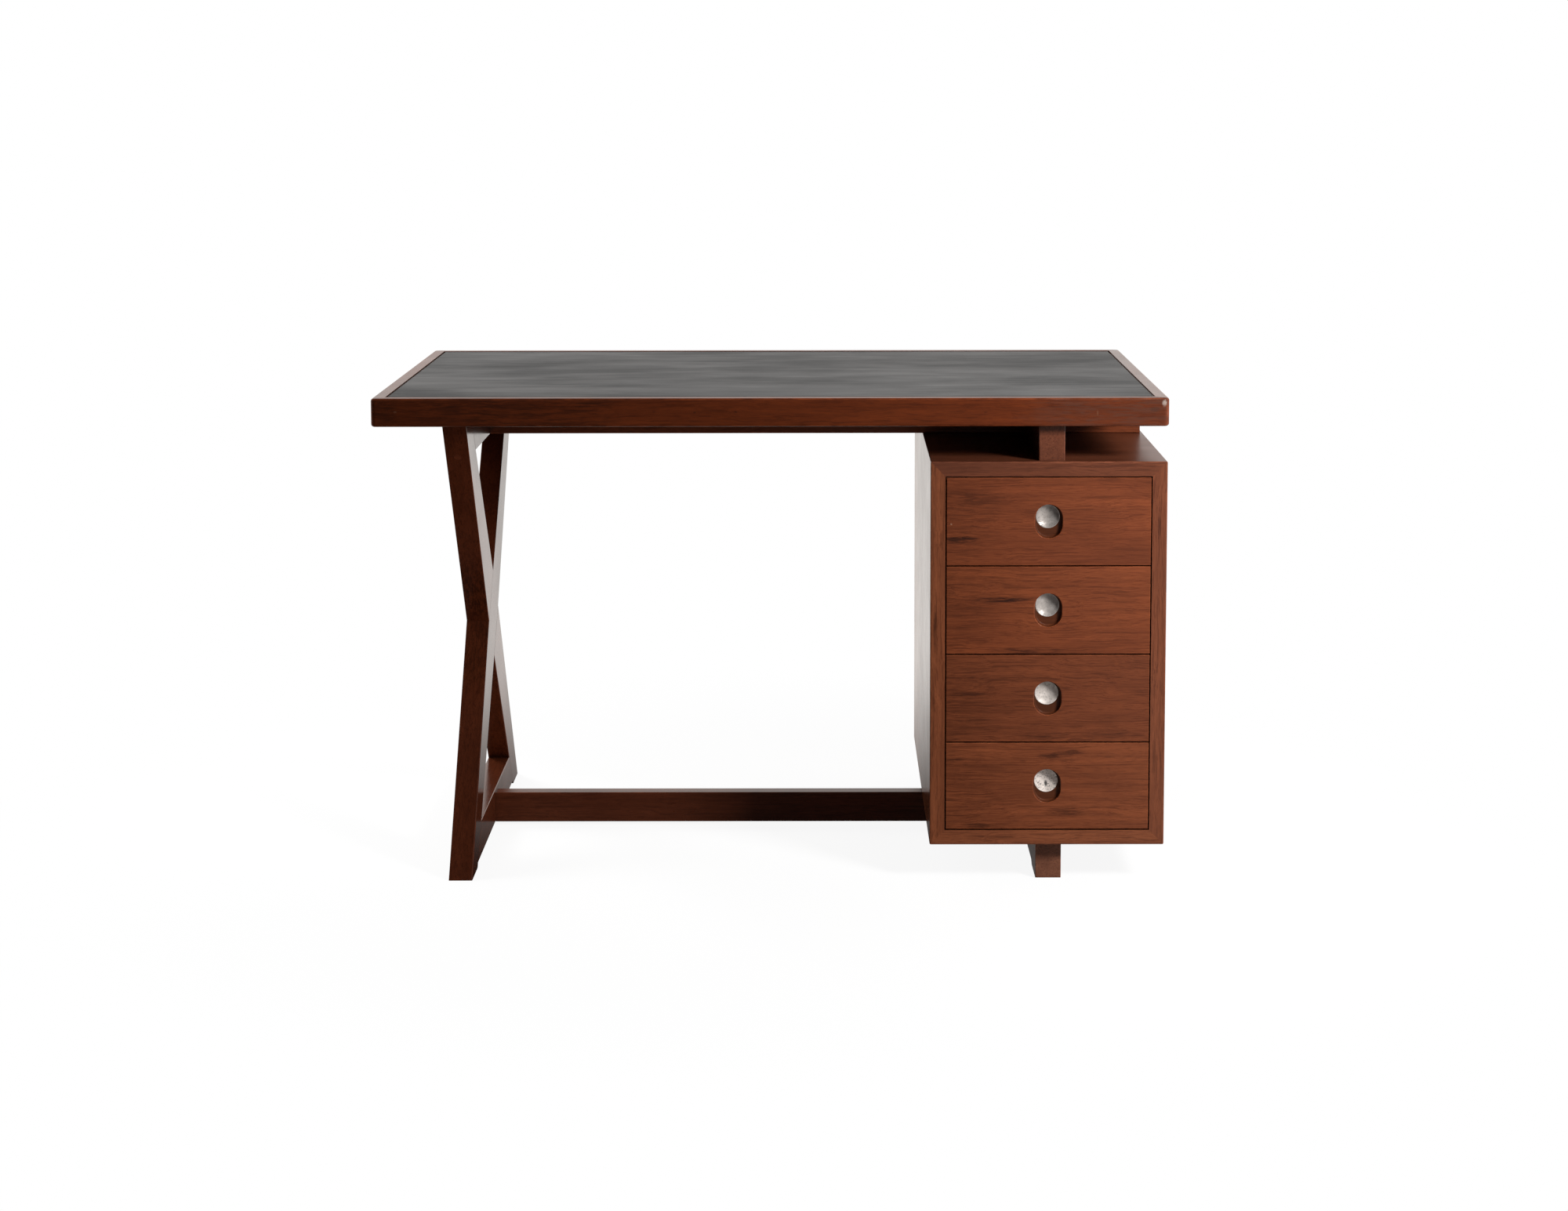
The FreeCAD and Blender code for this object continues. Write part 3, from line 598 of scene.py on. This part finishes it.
# Lamps: a key from the right, a small one mirrored in the pulls, and fills for the back and the left
KEY_PLACE = (1.65, -1.72, 1.50)


def area_lamp(name, place, target, size, watts, spread, lights=True, mirrored=False):
    """A square lamp that lights surfaces, or is mirrored in them, or both."""
    data = bpy.data.lights.new(name, "AREA")
    data.shape = "SQUARE"
    data.size = size
    data.energy = watts
    data.spread = math.radians(spread)
    lamp = bpy.data.objects.new(name, data)
    lamp.location = place
    lamp.visible_diffuse = lights
    lamp.visible_glossy = mirrored
    lamp.rotation_mode = "QUATERNION"
    lamp.rotation_quaternion = (Vector(target) - lamp.location).to_track_quat("-Z", "Y")
    bpy.context.scene.collection.objects.link(lamp)


area_lamp("key", KEY_PLACE, (0.75, -0.40, 0.50), 0.5, 12.6, 80)
area_lamp("glint", KEY_PLACE, (0.43, -0.40, 0.40), 0.3, 0.66, 40, lights=False, mirrored=True)
area_lamp("back_fill", (-1.2, 2.6, 2.4), (0, 0, 0.4), 1.6, 12, 170)
area_lamp("left_fill", (-2.2, 1.0, 2.3), (-0.5, 0, 0.35), 1.0, 16, 110)


# White surroundings, dimmer where the room in front of the desk would be
WARM_WHITE = (1.0, 0.955, 0.915, 1)


def make_world():
    world = bpy.data.worlds.new("world")
    bpy.context.scene.world = world
    world.use_nodes = True
    world.node_tree.nodes.clear()
    tree = Tree(world.node_tree)
    x, y, _ = tree.parts(tree.add("ShaderNodeTexCoord").outputs["Generated"])
    behind = tree.ramp(y, -0.05, 0.45)
    front = tree.line(tree.ramp(x, -0.04, 0.18), 0.90, 0.05)
    path = tree.add("ShaderNodeLightPath").outputs
    seen = tree.math("MAXIMUM", tree.math("MAXIMUM", behind, front), path["Is Camera Ray"])
    seen_tone = tree.mix(path["Is Camera Ray"], WARM_WHITE, WHITE)
    surroundings = tree.glow("ShaderNodeBackground", seen_tone, seen)
    from_behind = tree.line(tree.ramp(y, 0.0, 0.6), 0.60, 0.08)
    ambient = tree.glow("ShaderNodeBackground", WHITE, from_behind)
    direct = tree.math("MAXIMUM", path["Is Camera Ray"], path["Is Glossy Ray"])
    direct = tree.math("MAXIMUM", direct, path["Is Transmission Ray"])
    output = tree.add("ShaderNodeOutputWorld")
    tree.feed(output.inputs["Surface"], tree.either(direct, ambient, surroundings))


# Floor: its half width, how far it lies under the feet, and where the shadow fades
FLOOR_HALF = 6.0
FLOOR_DROP = 0.0006
FLOOR_GREY = 0.45
SHADOW_GREY = 0.12
FLOOR_GLOW = 0.91
SHADOW_FADES = (0.55, 1.35)


def make_floor():
    """A white floor that keeps a soft shadow near the desk and fades into the background."""
    half = FLOOR_HALF
    mesh = bpy.data.meshes.new("floor")
    corners = [(-half, -half, 0), (half, -half, 0), (half, half, 0), (-half, half, 0)]
    mesh.from_pydata(corners, [], [(0, 1, 2, 3)])
    floor = bpy.data.objects.new("floor", mesh)
    floor.location.z = -FLOOR_DROP
    bpy.context.scene.collection.objects.link(floor)

    material, tree = empty_material("floor")
    place = tree.place()
    x, y, _ = tree.parts(place)
    path = tree.add("ShaderNodeLightPath").outputs
    shaded = tree.add("ShaderNodeAddShader")
    tree.feed(shaded.inputs[0], tree.glow("ShaderNodeEmission", WHITE, FLOOR_GLOW))
    tree.feed(shaded.inputs[1], tree.matt(SHADOW_GREY))
    away = tree.ramp(tree.length(place), *SHADOW_FADES)
    seen = tree.either(away, shaded.outputs[0], tree.glow("ShaderNodeEmission", WHITE, 1.0))
    lit_front = tree.math("MULTIPLY", tree.ramp(x, 0.1, 1.1), 0.9)
    lit_behind = tree.ramp(y, -0.4, 1.6)
    mirror = tree.glow("ShaderNodeEmission", WARM_WHITE, tree.math("MAXIMUM", lit_front, lit_behind))
    unseen = tree.either(path["Is Glossy Ray"], tree.matt(FLOOR_GREY), mirror)
    output = tree.add("ShaderNodeOutputMaterial")
    tree.feed(output.inputs["Surface"], tree.either(path["Is Camera Ray"], unseen, seen))
    mesh.materials.append(material)


make_camera()
make_world()
make_floor()

bpy.context.scene.view_settings.view_transform = "Standard"
